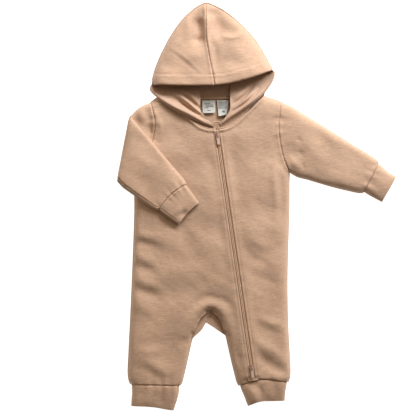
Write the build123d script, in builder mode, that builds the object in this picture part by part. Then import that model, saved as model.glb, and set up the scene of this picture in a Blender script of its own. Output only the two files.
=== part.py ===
from build123d import *

import os
from math import hypot, radians, tan

# A baby's hooded zip romper in brushed fleece, lying flat on its back. The wearer's right sleeve is
# folded across the body and the left one lies straight. A two-way zip runs from the neck to the left
# ankle. +X is the wearer's left, +Y points to the hood's tip and +Z is up. The origin is the middle of
# the bounding box, on the surface that the romper lies on.

# ---------------------------------------------------------------- driving dimensions, millimetres
FLEECE = 2.0  # one layer of brushed fleece
LINING = 1.0  # one layer of jersey lining, with the air behind it
BODY_HEIGHT = 20.0  # how thick the body lies, both layers and the air between them
SLEEVE_HEIGHT = 16.0  # the left sleeve, lying on the table
FOREARM_HEIGHT = 13.0  # the right forearm, folded on top of the body
WRIST_HEIGHT = 12.0
ANKLE_HEIGHT = 14.0
GAP = 0.4  # between pieces of two bodies

# The back neck seam, about which the hood turns
NECK_Y = 198.0
HOOD_AXIS_Z = 10.0

# Landmarks of the body, seen from above
NECK_RIGHT = (-176, NECK_Y)
NECK_LEFT = (12, NECK_Y)
SHOULDER_RIGHT = (-190, 187)
SHOULDER_LEFT = (43, 189)
ARMPIT_RIGHT = (-220, 58)
ARMPIT_LEFT = (58, 62)
ANKLE_RIGHT_OUT = (-228, -317)
ANKLE_RIGHT_IN = (-135, -319)
ANKLE_LEFT_OUT = (58, -313)
ANKLE_LEFT_IN = (-34, -320)
THIGH_RIGHT = (-116, -236)  # where each inner leg meets the crotch arch
THIGH_LEFT = (-55, -231)
CROTCH = (-84, -183.5)

# Where each sleeve folds: a line across it
RIGHT_FOLD = ((-227, 163), (-249.5, 46))
LEFT_FOLD = ((64, 179), (86, 50))

# The zip: its top slider's centre, the way down it, and its parts along it
ZIP_TOP = (-70.5, 129.0)
ZIP_FOOT = (-9.9, -285.0)
ZIP_RUN = hypot(ZIP_FOOT[0] - ZIP_TOP[0], ZIP_FOOT[1] - ZIP_TOP[1])  # between the sliders' centres
ZIP_ABOVE = 13.0  # tape above the top slider's centre
ZIP_BELOW = 18.0  # tape below the bottom slider's centre
ZIP_WELT = 3.2  # from the zip's middle to each folded fleece edge
TAPE_GAP = 0.6  # from the zip's middle to each tape
TAPE_WIDTH = 12.0
TAPE = 0.8
COIL_WIDTH = 2.2
COIL_HEIGHT = 1.8
SLIDER_LENGTH = 11.0
SLIDER_WIDTH = 8.4
SLIDER_PLATE = 1.2
BRIDGE_WIDTH = 1.6
BRIDGE_LENGTH = 8.4
BRIDGE_ROOM = 2.0  # under the bridge, for the pull's crossbar
PULL_LENGTH = 18.0
PULL_WIDTH = 5.6
PULL_THICK = 1.2

FRONT_Z = BODY_HEIGHT - FLEECE  # the inner face of the front panels
TAPE_Z = FRONT_Z - TAPE
PLATE_Z = BODY_HEIGHT + 0.3  # the slider's upper plate stands clear of the fleece
PULL_Z = PLATE_Z + SLIDER_PLATE + 0.3 + PULL_THICK / 2  # the pull's crossbar

os.makedirs("parts", exist_ok=True)


# ---------------------------------------------------------------- outlines
SIDE_LEFT = [ARMPIT_LEFT, (58, 0), (54, -120), (55, -205), (60, -295), ANKLE_LEFT_OUT]
SIDE_RIGHT = [ANKLE_RIGHT_OUT, (-231, -298), (-224, -160), (-218, 0), ARMPIT_RIGHT]
ARMHOLE_LEFT = [SHOULDER_LEFT, (37, 139), (46, 90), ARMPIT_LEFT]
ARMHOLE_RIGHT = [ARMPIT_RIGHT, (-190, 105), (-180, 148), SHOULDER_RIGHT]
CUFF_SEAM_LEFT = [ANKLE_LEFT_OUT, (5, -306), ANKLE_LEFT_IN]
CUFF_SEAM_RIGHT = [ANKLE_RIGHT_IN, ANKLE_RIGHT_OUT]
INNER_LEG_LEFT = [ANKLE_LEFT_IN, (-46, -272), THIGH_LEFT]
INNER_LEG_RIGHT = [THIGH_RIGHT, (-126, -281), ANKLE_RIGHT_IN]
CROTCH_ARCH = [THIGH_LEFT, (-65, -199), CROTCH, (-103, -200), THIGH_RIGHT]
FRONT_NECK = [NECK_RIGHT, (-119, 157), (-98, 142), (-72, 138), (-46, 145), (-21, 165), NECK_LEFT]

BELOW_THE_NECK = [
    [NECK_LEFT, SHOULDER_LEFT],
    ARMHOLE_LEFT,
    SIDE_LEFT,
    CUFF_SEAM_LEFT,
    INNER_LEG_LEFT,
    CROTCH_ARCH,
    INNER_LEG_RIGHT,
    CUFF_SEAM_RIGHT,
    SIDE_RIGHT,
    ARMHOLE_RIGHT,
    [SHOULDER_RIGHT, NECK_RIGHT],
]
BACK_OUTLINE = [[NECK_RIGHT, NECK_LEFT], *BELOW_THE_NECK]
FRONT_OUTLINE = [FRONT_NECK, *BELOW_THE_NECK]


def turn_radii(route):
    """Each corner's arc takes up 0.45 of its shorter run: that, over the tangent of half the turn."""
    radii = []
    for before, corner, after in zip(route, route[1:], route[2:]):
        incoming = Vector(*corner) - Vector(*before)
        outgoing = Vector(*after) - Vector(*corner)
        turn = incoming.get_angle(outgoing)
        radii.append(0.45 * min(incoming.length, outgoing.length) / tan(radians(turn / 2)))
    return radii


def draw(side):
    """One side of an outline: a straight line, or a soft one that rounds each of its corners."""
    if len(side) == 2:
        Line(*side)
    else:
        FilletPolyline(*side, radius=turn_radii(side))


def outline(sides, inset=0.0):
    """The face inside these sides, drawn in from them by the inset."""
    with BuildSketch(Plane.XY) as face:
        with BuildLine():
            for side in sides:
                draw(side)
        make_face()
        if inset:
            offset(amount=-inset)
    return face.sketch


def strip(side, width):
    """A band of this width along one side of an outline."""
    with BuildSketch(Plane.XY) as band:
        with BuildLine():
            draw(side)
        trace(line_width=width)
    return band.sketch


def hollow(sides, open_ends, wall):
    """The face of the hollow inside these sides, which runs out through each open end."""
    open_corners = [{end[0], end[-1]} for end in open_ends]
    with BuildSketch(Plane.XY) as doorways:
        for end in open_ends:
            add(strip(end, 4 * wall))
        for side in sides:
            if {side[0], side[-1]} not in open_corners:
                add(strip(side, 2 * wall), mode=Mode.SUBTRACT)
    with BuildSketch(Plane.XY) as face:
        add(outline(sides, inset=wall))
        add(doorways.sketch)
    return face.sketch


def flat_tube(sides, open_ends, bottom, height, wall=FLEECE):
    """A flattened sleeve of cloth with the given outline, open at some of its sides."""
    with BuildPart() as tube:
        with BuildSketch(Plane.XY.offset(bottom)):
            add(outline(sides))
        extrude(amount=height)
        with BuildSketch(Plane.XY.offset(bottom + wall)):
            add(hollow(sides, open_ends, wall))
        extrude(amount=height - 2 * wall, mode=Mode.SUBTRACT)
    return tube


def save(piece, name):
    piece.part.label = name
    export_step(piece.part, f"parts/{name}.step")


# ---------------------------------------------------------------- body panels
ZIP_DIRECTION = (
    (ZIP_FOOT[0] - ZIP_TOP[0]) / ZIP_RUN,
    (ZIP_FOOT[1] - ZIP_TOP[1]) / ZIP_RUN,
)


def zip_plane(z):
    """A plane at the top slider: its X runs down the zip, and its Y points to the wearer's left."""
    return Plane(origin=(*ZIP_TOP, z), x_dir=(*ZIP_DIRECTION, 0), z_dir=(0, 0, 1))


with BuildPart() as back_panel:
    with BuildSketch():
        add(outline(BACK_OUTLINE))
    extrude(amount=FLEECE)
save(back_panel, "back_panel")

with BuildPart() as front:
    with BuildSketch(Plane.XY.offset(FRONT_Z)):
        add(outline(FRONT_OUTLINE))
    extrude(amount=FLEECE)
    with BuildSketch(zip_plane(FRONT_Z)):
        with Locations((ZIP_RUN / 2, 0)):
            Rectangle(2 * ZIP_RUN, 2 * ZIP_WELT)
    extrude(amount=FLEECE, mode=Mode.SUBTRACT)
front_halves = front.part.solids().sort_by(Axis.X)

with BuildPart() as front_panel_right:
    add(front_halves[0])
save(front_panel_right, "front_panel_right")

with BuildPart() as front_panel_left:
    add(front_halves[-1])
save(front_panel_left, "front_panel_left")

# The seams that join the front to the back stand as narrow walls between them.
SEAMS = {
    "side_seam_left": SIDE_LEFT,
    "side_seam_right": SIDE_RIGHT,
    "shoulder_seam_left": [NECK_LEFT, SHOULDER_LEFT],
    "shoulder_seam_right": [SHOULDER_RIGHT, NECK_RIGHT],
    "inseam": [*INNER_LEG_LEFT, *CROTCH_ARCH[1:], *INNER_LEG_RIGHT[1:]],
}
for name, side in SEAMS.items():
    with BuildPart() as seam:
        with BuildSketch(Plane.XY.offset(FLEECE)):
            add(strip(side, 2 * FLEECE))
            add(outline(BACK_OUTLINE), mode=Mode.INTERSECT)
        extrude(amount=FRONT_Z - FLEECE)
    save(seam, name)

# The gusset's back edge hangs a little below the crotch arch of the front.
with BuildPart() as crotch_gusset:
    with BuildSketch():
        add(outline([CROTCH_ARCH, [THIGH_RIGHT, (-98, -220), (-91, -207)], [(-91, -207), (-74, -218), THIGH_LEFT]]))
    extrude(amount=FLEECE)
save(crotch_gusset, "crotch_gusset")


# ---------------------------------------------------------------- sleeves and cuffs
left_shoulder = flat_tube(
    [
        ARMHOLE_LEFT[::-1],
        [SHOULDER_LEFT, LEFT_FOLD[0]],
        list(LEFT_FOLD),
        [LEFT_FOLD[1], (72, 53), ARMPIT_LEFT],
    ],
    [ARMHOLE_LEFT, LEFT_FOLD],
    0,
    SLEEVE_HEIGHT,
)
save(left_shoulder, "left_sleeve_upper")

WRIST_LEFT = [(219, 83), (205, 52), (189, 23)]  # the seam between sleeve and cuff
LEFT_FOLD_OUT = [(x + GAP, y) for x, y in LEFT_FOLD]
left_forearm = flat_tube(
    [
        LEFT_FOLD_OUT[::-1],
        [LEFT_FOLD_OUT[0], WRIST_LEFT[0]],
        WRIST_LEFT,
        [WRIST_LEFT[-1], (140, 34), LEFT_FOLD_OUT[1]],
    ],
    [LEFT_FOLD_OUT, WRIST_LEFT],
    0,
    SLEEVE_HEIGHT,
)
save(left_forearm, "left_sleeve_lower")

CUFF_END_LEFT = [(249.5, 54), (236, 31), (224, 9)]
left_wrist_cuff = flat_tube(
    [
        WRIST_LEFT[::-1],
        [WRIST_LEFT[0], (232, 65), CUFF_END_LEFT[0]],
        CUFF_END_LEFT,
        [CUFF_END_LEFT[-1], (206, 18), WRIST_LEFT[-1]],
    ],
    [WRIST_LEFT, CUFF_END_LEFT],
    0,
    WRIST_HEIGHT,
)
save(left_wrist_cuff, "left_wrist_cuff")

right_shoulder = flat_tube(
    [
        ARMHOLE_RIGHT,
        [SHOULDER_RIGHT, (-210, 180), RIGHT_FOLD[0]],
        list(RIGHT_FOLD),
        [RIGHT_FOLD[1], (-236, 44), ARMPIT_RIGHT],
    ],
    [ARMHOLE_RIGHT, RIGHT_FOLD],
    0,
    BODY_HEIGHT,
)
save(right_shoulder, "right_sleeve_upper")

# The folded forearm lies on the body and the upper sleeve.
FOREARM_Z = BODY_HEIGHT + GAP
WRIST_RIGHT = [(-124, 42), (-152, 24), (-178, -8)]
RIGHT_FOLD_OUT = [(x + GAP, y) for x, y in RIGHT_FOLD]
right_forearm = flat_tube(
    [
        RIGHT_FOLD_OUT[::-1],
        [RIGHT_FOLD_OUT[0], WRIST_RIGHT[0]],
        WRIST_RIGHT,
        [WRIST_RIGHT[-1], (-240, 35), RIGHT_FOLD_OUT[1]],
    ],
    [RIGHT_FOLD_OUT, WRIST_RIGHT],
    FOREARM_Z,
    FOREARM_HEIGHT,
)
save(right_forearm, "right_sleeve_lower")

CUFF_END_RIGHT = [(-103, 8), (-124, -10), (-140, -32)]
right_wrist_cuff = flat_tube(
    [
        WRIST_RIGHT[::-1],
        [WRIST_RIGHT[0], (-116, 25), CUFF_END_RIGHT[0]],
        CUFF_END_RIGHT,
        [CUFF_END_RIGHT[-1], (-159, -19), WRIST_RIGHT[-1]],
    ],
    [WRIST_RIGHT, CUFF_END_RIGHT],
    FOREARM_Z,
    WRIST_HEIGHT,
)
save(right_wrist_cuff, "right_wrist_cuff")

HEM_RIGHT = [(-149, -364.5), (-190, -357), (-225, -356)]
right_ankle_cuff = flat_tube(
    [
        CUFF_SEAM_RIGHT[::-1],
        [ANKLE_RIGHT_IN, (-140, -338), HEM_RIGHT[0]],
        HEM_RIGHT,
        [HEM_RIGHT[-1], (-224, -330), ANKLE_RIGHT_OUT],
    ],
    [CUFF_SEAM_RIGHT, HEM_RIGHT],
    0,
    ANKLE_HEIGHT,
)
save(right_ankle_cuff, "right_ankle_cuff")

HEM_LEFT = [(50, -347), (5, -347), (-16, -356)]
left_ankle_cuff = flat_tube(
    [
        CUFF_SEAM_LEFT[::-1],
        [ANKLE_LEFT_OUT, (52, -328), HEM_LEFT[0]],
        HEM_LEFT,
        [HEM_LEFT[-1], (-24, -336), ANKLE_LEFT_IN],
    ],
    [CUFF_SEAM_LEFT, HEM_LEFT],
    0,
    ANKLE_HEIGHT,
)
save(left_ankle_cuff, "left_ankle_cuff")


# ---------------------------------------------------------------- zip
def zip_strip(start, length, inner, width, z, height):
    """A straight strip along the zip, on the side that the sign of its width says."""
    with BuildPart() as strip:
        with BuildSketch(zip_plane(z)):
            with Locations((start + length / 2, (1 if width > 0 else -1) * (inner + abs(width) / 2))):
                Rectangle(length, abs(width))
        extrude(amount=height)
    return strip


ZIP_LENGTH = ZIP_ABOVE + ZIP_RUN + ZIP_BELOW
COIL_START = -6.0
COIL_LENGTH = ZIP_RUN + 12.0
STOP_LENGTH = 3.0
for side, sign in (("left", 1), ("right", -1)):
    tape = zip_strip(-ZIP_ABOVE, ZIP_LENGTH, TAPE_GAP, sign * TAPE_WIDTH, TAPE_Z, TAPE)
    save(tape, f"zipper_tape_{side}")
    coil = zip_strip(COIL_START, COIL_LENGTH, TAPE_GAP, sign * COIL_WIDTH, FRONT_Z, COIL_HEIGHT)
    save(coil, f"zipper_coil_{side}")

for name, start in (
    ("zipper_top_stops", COIL_START - STOP_LENGTH),
    ("zipper_bottom_stops", COIL_START + COIL_LENGTH),
):
    with BuildPart() as stops:
        with BuildSketch(zip_plane(FRONT_Z)):
            with Locations((start + STOP_LENGTH / 2, 0)):
                with GridLocations(0, 2 * TAPE_GAP + COIL_WIDTH, 1, 2):
                    Rectangle(STOP_LENGTH, COIL_WIDTH)
        extrude(amount=COIL_HEIGHT)
    save(stops, name)

# A strip of fleece behind the zip, with a rounded end that shows above it.
GUARD_Z = 14.2
GUARD_WIDTH = 18.0
GUARD_ABOVE = 14.0
with BuildPart() as zip_guard:
    with BuildSketch(zip_plane(GUARD_Z)):
        with Locations((ZIP_RUN / 2, 0)):
            Rectangle(ZIP_RUN + 2 * GUARD_ABOVE, GUARD_WIDTH)
        with Locations((-GUARD_ABOVE, 0)):
            Circle(GUARD_WIDTH / 2)
    extrude(amount=TAPE)
save(zip_guard, "zip_guard")


def slider(at):
    """A slider body centred on the zip: two plates joined by a web between the tapes, and a bridge."""
    web = 0.7
    under_plate_z = TAPE_Z - 0.4 - SLIDER_PLATE
    leg = 1.2
    with BuildPart() as body:
        for z in (under_plate_z, PLATE_Z):
            with BuildSketch(zip_plane(z)):
                with Locations((at, 0)):
                    RectangleRounded(SLIDER_LENGTH, SLIDER_WIDTH, 2.0)
            extrude(amount=SLIDER_PLATE)
        with BuildSketch(zip_plane(under_plate_z)):
            with Locations((at, 0)):
                Rectangle(SLIDER_LENGTH - 3, web)
        extrude(amount=PLATE_Z + SLIDER_PLATE - under_plate_z)
        with BuildSketch(zip_plane(PLATE_Z + SLIDER_PLATE)):
            with Locations((at, 0)):
                Rectangle(BRIDGE_LENGTH, BRIDGE_WIDTH)
        extrude(amount=BRIDGE_ROOM + leg)
        with BuildSketch(zip_plane(PLATE_Z + SLIDER_PLATE)):
            with Locations((at, 0)):
                Rectangle(BRIDGE_LENGTH - 2 * leg, BRIDGE_WIDTH)
        extrude(amount=BRIDGE_ROOM, mode=Mode.SUBTRACT)
    return body


def pull(at):
    """A pull tab with a window: its crossbar runs under the bridge and its arms pass beside it."""
    arm = 1.4
    window = BRIDGE_LENGTH / 2 + 0.8
    with BuildPart() as tab:
        with BuildSketch(zip_plane(PULL_Z - PULL_THICK / 2)):
            with Locations((at + (PULL_LENGTH - PULL_THICK / 2) / 2, 0)):
                RectangleRounded(PULL_LENGTH + PULL_THICK / 2, PULL_WIDTH, 0.5)
            with Locations((at + PULL_THICK / 2 + window / 2, 0)):
                Rectangle(window, PULL_WIDTH - 2 * arm, mode=Mode.SUBTRACT)
        extrude(amount=PULL_THICK)
    return tab


for name, at in (("top", 0.0), ("bottom", ZIP_RUN)):
    save(slider(at), f"{name}_slider")
    save(pull(at), f"{name}_pull_tab")


# ---------------------------------------------------------------- hood
HOOD_TIP = (-91, 364.5)
HOOD_CORNER_RIGHT = (-192, 213)
HOOD_CORNER_LEFT = (33, 239)
HOOD_NECK_RIGHT = (-180, NECK_Y + GAP)
HOOD_NECK_LEFT = (8, NECK_Y + GAP)
HOOD_OUTLINE = [
    [HOOD_NECK_LEFT, (22, 215), HOOD_CORNER_LEFT],
    [HOOD_CORNER_LEFT, (19, 265), (-10, 309), (-55, 350), HOOD_TIP],
    [HOOD_TIP, (-122, 348), (-157, 302), (-182, 247), HOOD_CORNER_RIGHT],
    [HOOD_CORNER_RIGHT, (-189, 206), HOOD_NECK_RIGHT],
    [HOOD_NECK_RIGHT, HOOD_NECK_LEFT],
]
HOOD_EDGE = [(-192, 220), (-101, 217), (-48, 223), (33, 243)]  # the turned front edge of the crown
HOOD_TIP_HEIGHT = 14.0
HOOD_EDGE_HEIGHT = 36.0
HOOD_RIM_HEIGHT = HOOD_AXIS_Z  # the low side walls in front of the crown stay below the axis
CROWN_FRONT_Y = 215.0  # from here to the tip the crown slopes down
HOOD_NECK = [HOOD_NECK_RIGHT, HOOD_NECK_LEFT]


def hood_body(inset, front_y):
    """The space inside the hood's faces, drawn in from them by the inset and cut off at the front."""
    with BuildPart() as body:
        with BuildSketch(Plane.XY.offset(inset)):
            add(hollow(HOOD_OUTLINE, [HOOD_NECK], inset) if inset else outline(HOOD_OUTLINE))
        extrude(amount=HOOD_EDGE_HEIGHT - inset)
        with BuildSketch(Plane.YZ.offset(HOOD_CORNER_RIGHT[0] - 10)):
            with BuildLine():
                Polyline(
                    (front_y, inset),
                    (HOOD_TIP[1] + 1, inset),
                    (HOOD_TIP[1] + 1, HOOD_TIP_HEIGHT - inset),
                    (CROWN_FRONT_Y, HOOD_EDGE_HEIGHT - inset),
                    (front_y, HOOD_EDGE_HEIGHT - inset),
                    close=True,
                )
            make_face()
        extrude(amount=HOOD_CORNER_LEFT[0] - HOOD_CORNER_RIGHT[0] + 20, mode=Mode.INTERSECT)
    return body.part


def hood_shell(inset, wall):
    """The hood as a pouch with its mouth at the front: the crown on top, the back below."""
    with BuildPart() as pouch:
        add(hood_body(inset, NECK_Y + GAP))
        add(hood_body(inset + wall, NECK_Y - 5), mode=Mode.SUBTRACT)
        with BuildSketch(Plane.XY.offset(HOOD_RIM_HEIGHT)):
            with BuildLine():
                draw(HOOD_EDGE)
                Polyline(HOOD_EDGE[-1], (60, HOOD_EDGE[-1][1]), (60, 180), (-220, 180), (-220, 220), HOOD_EDGE[0])
            make_face()
        extrude(amount=HOOD_EDGE_HEIGHT, mode=Mode.SUBTRACT)
    return pouch.part


HOOD_SEAM = ((-91, 370), (-70, 190))  # the centre seam, from the tip past the front edge
seam_plane = Plane(
    origin=(*HOOD_SEAM[0], 0),
    x_dir=(0, 0, 1),
    z_dir=(HOOD_SEAM[0][1] - HOOD_SEAM[1][1], HOOD_SEAM[1][0] - HOOD_SEAM[0][0], 0),
)
for layer, inset, wall in (("outer", 0.0, FLEECE), ("lining", FLEECE, LINING)):
    shell = hood_shell(inset, wall)
    for side, keep in (("left", Keep.TOP), ("right", Keep.BOTTOM)):
        with BuildPart() as half:
            add(shell)
            split(bisect_by=seam_plane, keep=keep)
        save(half, f"hood_{layer}_{side}")

# The hood's lined front edges come down to the zip, lying on the body's neckline. Between them the neck is open.
EDGE_Z = BODY_HEIGHT + 0.3
EDGE_HEIGHT = 6.0
EDGE_TOP_Y = NECK_Y - 1.0
EDGES = {
    "right": [
        [(-174, EDGE_TOP_Y), (-128, 167), (-101, 155), (-79, 145)],
        [(-79, 145), (-97, 168), (-101, EDGE_TOP_Y)],
        [(-101, EDGE_TOP_Y), (-174, EDGE_TOP_Y)],
    ],
    "left": [
        [(8, EDGE_TOP_Y), (-30, 166), (-48, 157), (-64, 147)],
        [(-64, 147), (-50, 166), (-48, EDGE_TOP_Y)],
        [(-48, EDGE_TOP_Y), (8, EDGE_TOP_Y)],
    ],
}
for side, sides in EDGES.items():
    with BuildPart() as front_edge:
        with BuildSketch(Plane.XY.offset(EDGE_Z)):
            add(outline(sides))
        extrude(amount=EDGE_HEIGHT)
    save(front_edge, f"hood_front_edge_{side}")


# ---------------------------------------------------------------- inside the neck
TAPE_LOW_Y = 192.0
NECK_TAPE_HEIGHT = 2.6
with BuildPart() as neck_tape:
    with BuildSketch(Plane.XY.offset(FLEECE)):
        with Locations((-74, (TAPE_LOW_Y + NECK_Y) / 2 - 0.25)):
            Rectangle(52, NECK_Y - TAPE_LOW_Y - 0.5)
    extrude(amount=NECK_TAPE_HEIGHT)
save(neck_tape, "neck_tape")

LABEL_Z = FLEECE + NECK_TAPE_HEIGHT + GAP
LABEL_THICK = 0.5
for name, corners in (
    ("brand_label", [(-98, 191), (-74.5, 191), (-74.5, 168.5), (-97, 168)]),
    ("care_label", [(-71.5, 191), (-50, 191), (-54, 165), (-68.5, 162.5)]),
):
    with BuildPart() as label:
        with BuildSketch(Plane.XY.offset(LABEL_Z)):
            with BuildLine():
                Polyline(*corners, close=True)
            make_face()
        extrude(amount=LABEL_THICK)
    save(label, name)
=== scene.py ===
"""Looks of the hooded fleece romper, lying flat: one fabric piece for each part of the garment.

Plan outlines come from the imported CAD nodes. Lengths below are in metres, and x, y and z are the
frame's: +X is the wearer's left, +Y points to the hood's tip and +Z is up.
"""

from collections import Counter
from math import atan

import bpy
import numpy as np
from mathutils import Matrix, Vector
from mathutils.geometry import delaunay_2d_cdt
from mathutils.kdtree import KDTree


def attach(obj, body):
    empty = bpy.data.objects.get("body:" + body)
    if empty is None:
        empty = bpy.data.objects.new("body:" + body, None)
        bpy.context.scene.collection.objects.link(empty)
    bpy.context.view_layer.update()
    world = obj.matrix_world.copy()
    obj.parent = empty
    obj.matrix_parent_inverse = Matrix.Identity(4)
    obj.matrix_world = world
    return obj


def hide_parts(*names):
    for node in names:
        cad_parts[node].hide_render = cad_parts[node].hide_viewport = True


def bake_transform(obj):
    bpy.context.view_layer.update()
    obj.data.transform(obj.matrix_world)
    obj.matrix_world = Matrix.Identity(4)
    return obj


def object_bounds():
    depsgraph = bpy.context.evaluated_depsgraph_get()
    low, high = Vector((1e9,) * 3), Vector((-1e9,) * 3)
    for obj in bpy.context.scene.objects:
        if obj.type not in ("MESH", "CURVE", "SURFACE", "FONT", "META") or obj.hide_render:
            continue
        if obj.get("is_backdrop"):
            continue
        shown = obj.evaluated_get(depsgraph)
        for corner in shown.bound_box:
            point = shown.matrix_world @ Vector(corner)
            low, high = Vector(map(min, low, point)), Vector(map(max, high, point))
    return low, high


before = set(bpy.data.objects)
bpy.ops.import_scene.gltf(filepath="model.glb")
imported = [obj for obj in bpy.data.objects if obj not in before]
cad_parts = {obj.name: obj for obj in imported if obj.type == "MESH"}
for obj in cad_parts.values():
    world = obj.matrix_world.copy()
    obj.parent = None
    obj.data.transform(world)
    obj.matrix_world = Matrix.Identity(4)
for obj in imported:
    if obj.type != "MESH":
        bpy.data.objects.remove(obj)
CAD_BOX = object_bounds()
MM = 0.001

# ---------------- how the cloth lies
EDGE_Z = 4.0 * MM  # where front and back meet at a side seam
EDGE_RISE = 8.5 * MM  # how far the front rises just inside an edge
EDGE_ROUND = 3.4 * MM  # how quickly it does
PILLOW = 6.0 * MM  # what the air between the layers adds in the middle
CLOTH = 1.7 * MM  # thickness of the fleece
BACK_Z = 0.3 * MM
FOREARM_Z = 20.6 * MM  # underside of the folded forearm
ZIP_LANE_Z = 19.6 * MM  # the front on both sides of the zip
NECK_Y = 198 * MM


def mm(*points):
    """Points given in millimetres, in metres."""
    return np.array(points, float) * MM


ZIP_TOP, ZIP_FOOT = mm((-70.5, 129.0), (-9.9, -285.0))
ZIP_RUN = float(np.linalg.norm(ZIP_FOOT - ZIP_TOP))
ZIP_DOWN = (ZIP_FOOT - ZIP_TOP) / ZIP_RUN
ZIP_SIDE = np.array([-ZIP_DOWN[1], ZIP_DOWN[0]])  # towards the wearer's left
OPEN_ENDS = {
    "left_wrist_cuff": mm((249.5, 54), (224, 9)),
    "right_wrist_cuff": mm((-103, 8), (-140, -32)),
    "right_ankle_cuff": mm((-149, -364.5), (-225, -356)),
    "left_ankle_cuff": mm((50, -347), (-16, -356)),
}
FRONT_NECK = mm((-176, 198), (-119, 157), (-98, 142), (-72, 138), (-46, 145), (-21, 165), (12, 198))
HOOD_SIDES = mm(
    (-187.5, 220), (-187, 232), (-181, 252), (-170, 278), (-155, 306), (-137, 332), (-118, 351), (-102, 362),
    (-91, 366), (-78, 362), (-57, 351), (-34, 333), (-10, 309), (6, 287), (18, 266), (26, 252), (29, 244.5),
)
BRIM = mm(
    (-187.5, 220), (-183, 217.6), (-150, 216), (-119, 215.6), (-80, 215.8),
    (-48, 219.5), (-21, 226.5), (6, 235.5), (22, 242), (29, 244.5),
)
CROWN_SEAM = mm((-91, 370), (-91, 310), (-85.6, 271), (-79, 236), (-74.5, 205))
RIGHT_FOLD = mm((-227, 163), (-249.5, 46))  # the crease where the right sleeve folds over
RIGHT_FOLD_SIDE = np.array([-0.982, 0.189])  # away from the body
LEFT_FOLD = mm((64, 179), (86, 50))  # where the left sleeve can bend
LEFT_FOLD_SIDE = np.array([0.9858, 0.1681])  # towards the cuff


# ---------------- curves and outlines
def norms(rows):
    """The length of each row."""
    return np.linalg.norm(rows, axis=1)


def bell(x, width):
    """1 where x is 0, fading both ways over this width."""
    return np.exp(-((x / width) ** 2))


def fading(distance, reach):
    """1 at an edge, fading with the distance from it."""
    return np.exp(-distance / reach)


def ramp(x, start, length):
    """0 up to the start, rising to 1 over this length."""
    return np.clip((x - start) / length, 0, 1)


def runs(line):
    """How far along a line each of its points is."""
    return np.r_[0, np.cumsum(norms(np.diff(line, axis=0)))]


def leftward(ahead):
    """Unit vectors in plan that are square to these directions, on their left."""
    return np.stack([-ahead[:, 1], ahead[:, 0]], 1) / norms(ahead)[:, None]


def signed_area(loop):
    """A closed outline's area in plan, below 0 if it runs clockwise."""
    x, y = loop[:, 0], loop[:, 1]
    return float((x * np.roll(y, -1) - y * np.roll(x, -1)).sum() / 2)


def anticlockwise(loop):
    return loop[::-1] if signed_area(loop) < 0 else loop


def smooth_line(points, spacing=1.5 * MM):
    """A soft curve through these points, as closely spaced points."""
    points = np.asarray(points, float)
    ends = np.vstack([2 * points[0] - points[1], points, 2 * points[-1] - points[-2]])
    found = []
    for a, b, c, d in zip(ends, ends[1:], ends[2:], ends[3:]):
        t = np.linspace(0, 1, max(3, int(np.linalg.norm(c - b) / spacing)), endpoint=False)[:, None]
        curve = 2 * b + (c - a) * t + (2 * a - 5 * b + 4 * c - d) * t**2 + (3 * b - a - 3 * c + d) * t**3
        found.append(0.5 * curve)
    return np.vstack(found + [points[-1:]])


def spaced(points, spacing):
    """The same line with evenly spaced points."""
    run = runs(points)
    at = np.linspace(0, run[-1], max(2, int(round(run[-1] / spacing)) + 1))
    return np.stack([np.interp(at, run, points[:, k]) for k in range(points.shape[1])], axis=1)


def along(points, share):
    """The points at these shares of a line's length."""
    run = runs(points)
    at = np.asarray(share) * run[-1]
    return np.stack([np.interp(at, run, points[:, k]) for k in range(points.shape[1])], axis=-1)


def node_outline(name):
    """The corners of a CAD plate's upper face, anticlockwise."""
    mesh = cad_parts[name].data
    co = np.array([v.co for v in mesh.vertices])
    top = co[:, 2].max()
    sides = Counter()
    for face in mesh.polygons:
        if face.normal.z > 0.99 and top - co[face.vertices[0], 2] < 0.01 * MM:
            ids = [tuple(np.round(co[i, :2] * 1e5).astype(int)) for i in face.vertices]
            sides.update(zip(ids, ids[1:] + ids[:1]))
    follow = {a: b for a, b in sides if (b, a) not in sides}
    best = []
    while follow:
        start = next(iter(follow))
        loop = [start]
        while loop[-1] in follow:
            step = follow.pop(loop[-1])
            if step == start:
                break
            loop.append(step)
        best = max(best, loop, key=len)
    return np.array(best, float) / 1e5


SHARP_TURN = 0.45  # radians: a corner of an outline, not a bend


def evened(loop, spacing=1.6 * MM):
    """A closed outline with its corners kept and even points between them."""
    before, after = loop - np.roll(loop, 1, 0), np.roll(loop, -1, 0) - loop
    across = before[:, 0] * after[:, 1] - before[:, 1] * after[:, 0]
    turn = np.abs(np.arctan2(across, (before * after).sum(1)))
    corners = np.flatnonzero(turn > SHARP_TURN)
    if not len(corners):
        corners = np.array([0])
    loop = np.roll(loop, -corners[0], 0)
    corners = corners - corners[0]
    parts = []
    for a, b in zip(corners, [*corners[1:], len(loop)]):
        parts.append(spaced(np.vstack([loop[a:b], loop[b % len(loop)]]), spacing)[:-1])
    return np.vstack(parts)


def inside(points, loop):
    """Which points are inside a closed outline."""
    found = np.zeros(len(points), bool)
    a, b = loop, np.roll(loop, -1, 0)
    for k in range(0, len(points), 4000):
        x, y = points[k : k + 4000, 0, None], points[k : k + 4000, 1, None]
        with np.errstate(divide="ignore", invalid="ignore"):
            crossed = x < (b[:, 0] - a[:, 0]) * (y - a[:, 1]) / (b[:, 1] - a[:, 1]) + a[:, 0]
        found[k : k + 4000] = (((a[:, 1] > y) != (b[:, 1] > y)) & crossed).sum(1) % 2 == 1
    return found


class Near:
    """Distances to a set of closely spaced samples."""

    def __init__(self, samples):
        self.samples = np.asarray(samples)
        self.tree = KDTree(len(samples))
        for k, p in enumerate(self.samples):
            self.tree.insert((p[0], p[1], 0), k)
        self.tree.balance()

    def __call__(self, points):
        found = [self.tree.find((x, y, 0)) for x, y in points[:, :2]]
        return np.array([f[2] for f in found]), np.array([f[1] for f in found])


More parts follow.
